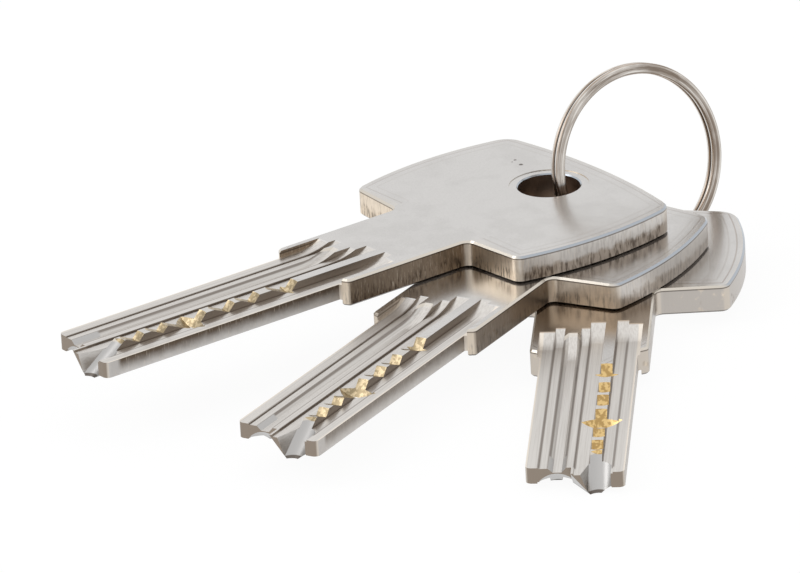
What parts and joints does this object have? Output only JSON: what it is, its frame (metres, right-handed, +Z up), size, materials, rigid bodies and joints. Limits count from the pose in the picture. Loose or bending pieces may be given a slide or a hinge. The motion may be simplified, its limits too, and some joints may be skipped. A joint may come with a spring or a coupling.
{
  "type": "key bunch",
  "caption": "Reversible dimple keys with plain rounded bows, fanned out flat on a small double-turn split ring.",
  "frame": {"origin": "middle of the bottom key's bow, on the underside of that key", "axes": "+Z up, square to the flat keys, which lie one on another; -Y runs roughly along the bottom key's blade, towards its tip; +X to the right when the keys point at the viewer"},
  "size_m": [0.0679, 0.0718, 0.0198],
  "materials": {
    "key_plate": "satin nickel plate over brass, bare brass in the cuts",
    "ring_wire": "polished nickel plate over spring steel"
  },
  "bodies": {
    "key_bottom": {"key_bottom": "key_plate"},
    "key_middle": {"key_middle": "key_plate"},
    "key_top": {"key_top": "key_plate"},
    "split_ring": {"split_ring": "ring_wire"}
  },
  "joints": [
    {"name": "fan_middle", "type": "hinge", "parent": "key_bottom", "child": "key_middle", "pos_m": [-0.00264, 0.00393, 0.00423], "axis": [0, 0, 1], "range_deg": [-130, 90]},
    {"name": "fan_top", "type": "hinge", "parent": "key_bottom", "child": "key_top", "pos_m": [-0.00472, 0.00546, 0.00706], "axis": [0, 0, 1], "range_deg": [-130, 120]},
    {"name": "ring_spin", "type": "hinge", "parent": "key_bottom", "child": "split_ring", "pos_m": [0.00429, 0.011, 0.00812], "axis": [0.5349, -0.8219, 0.1961], "continuous": true}
  ]
}
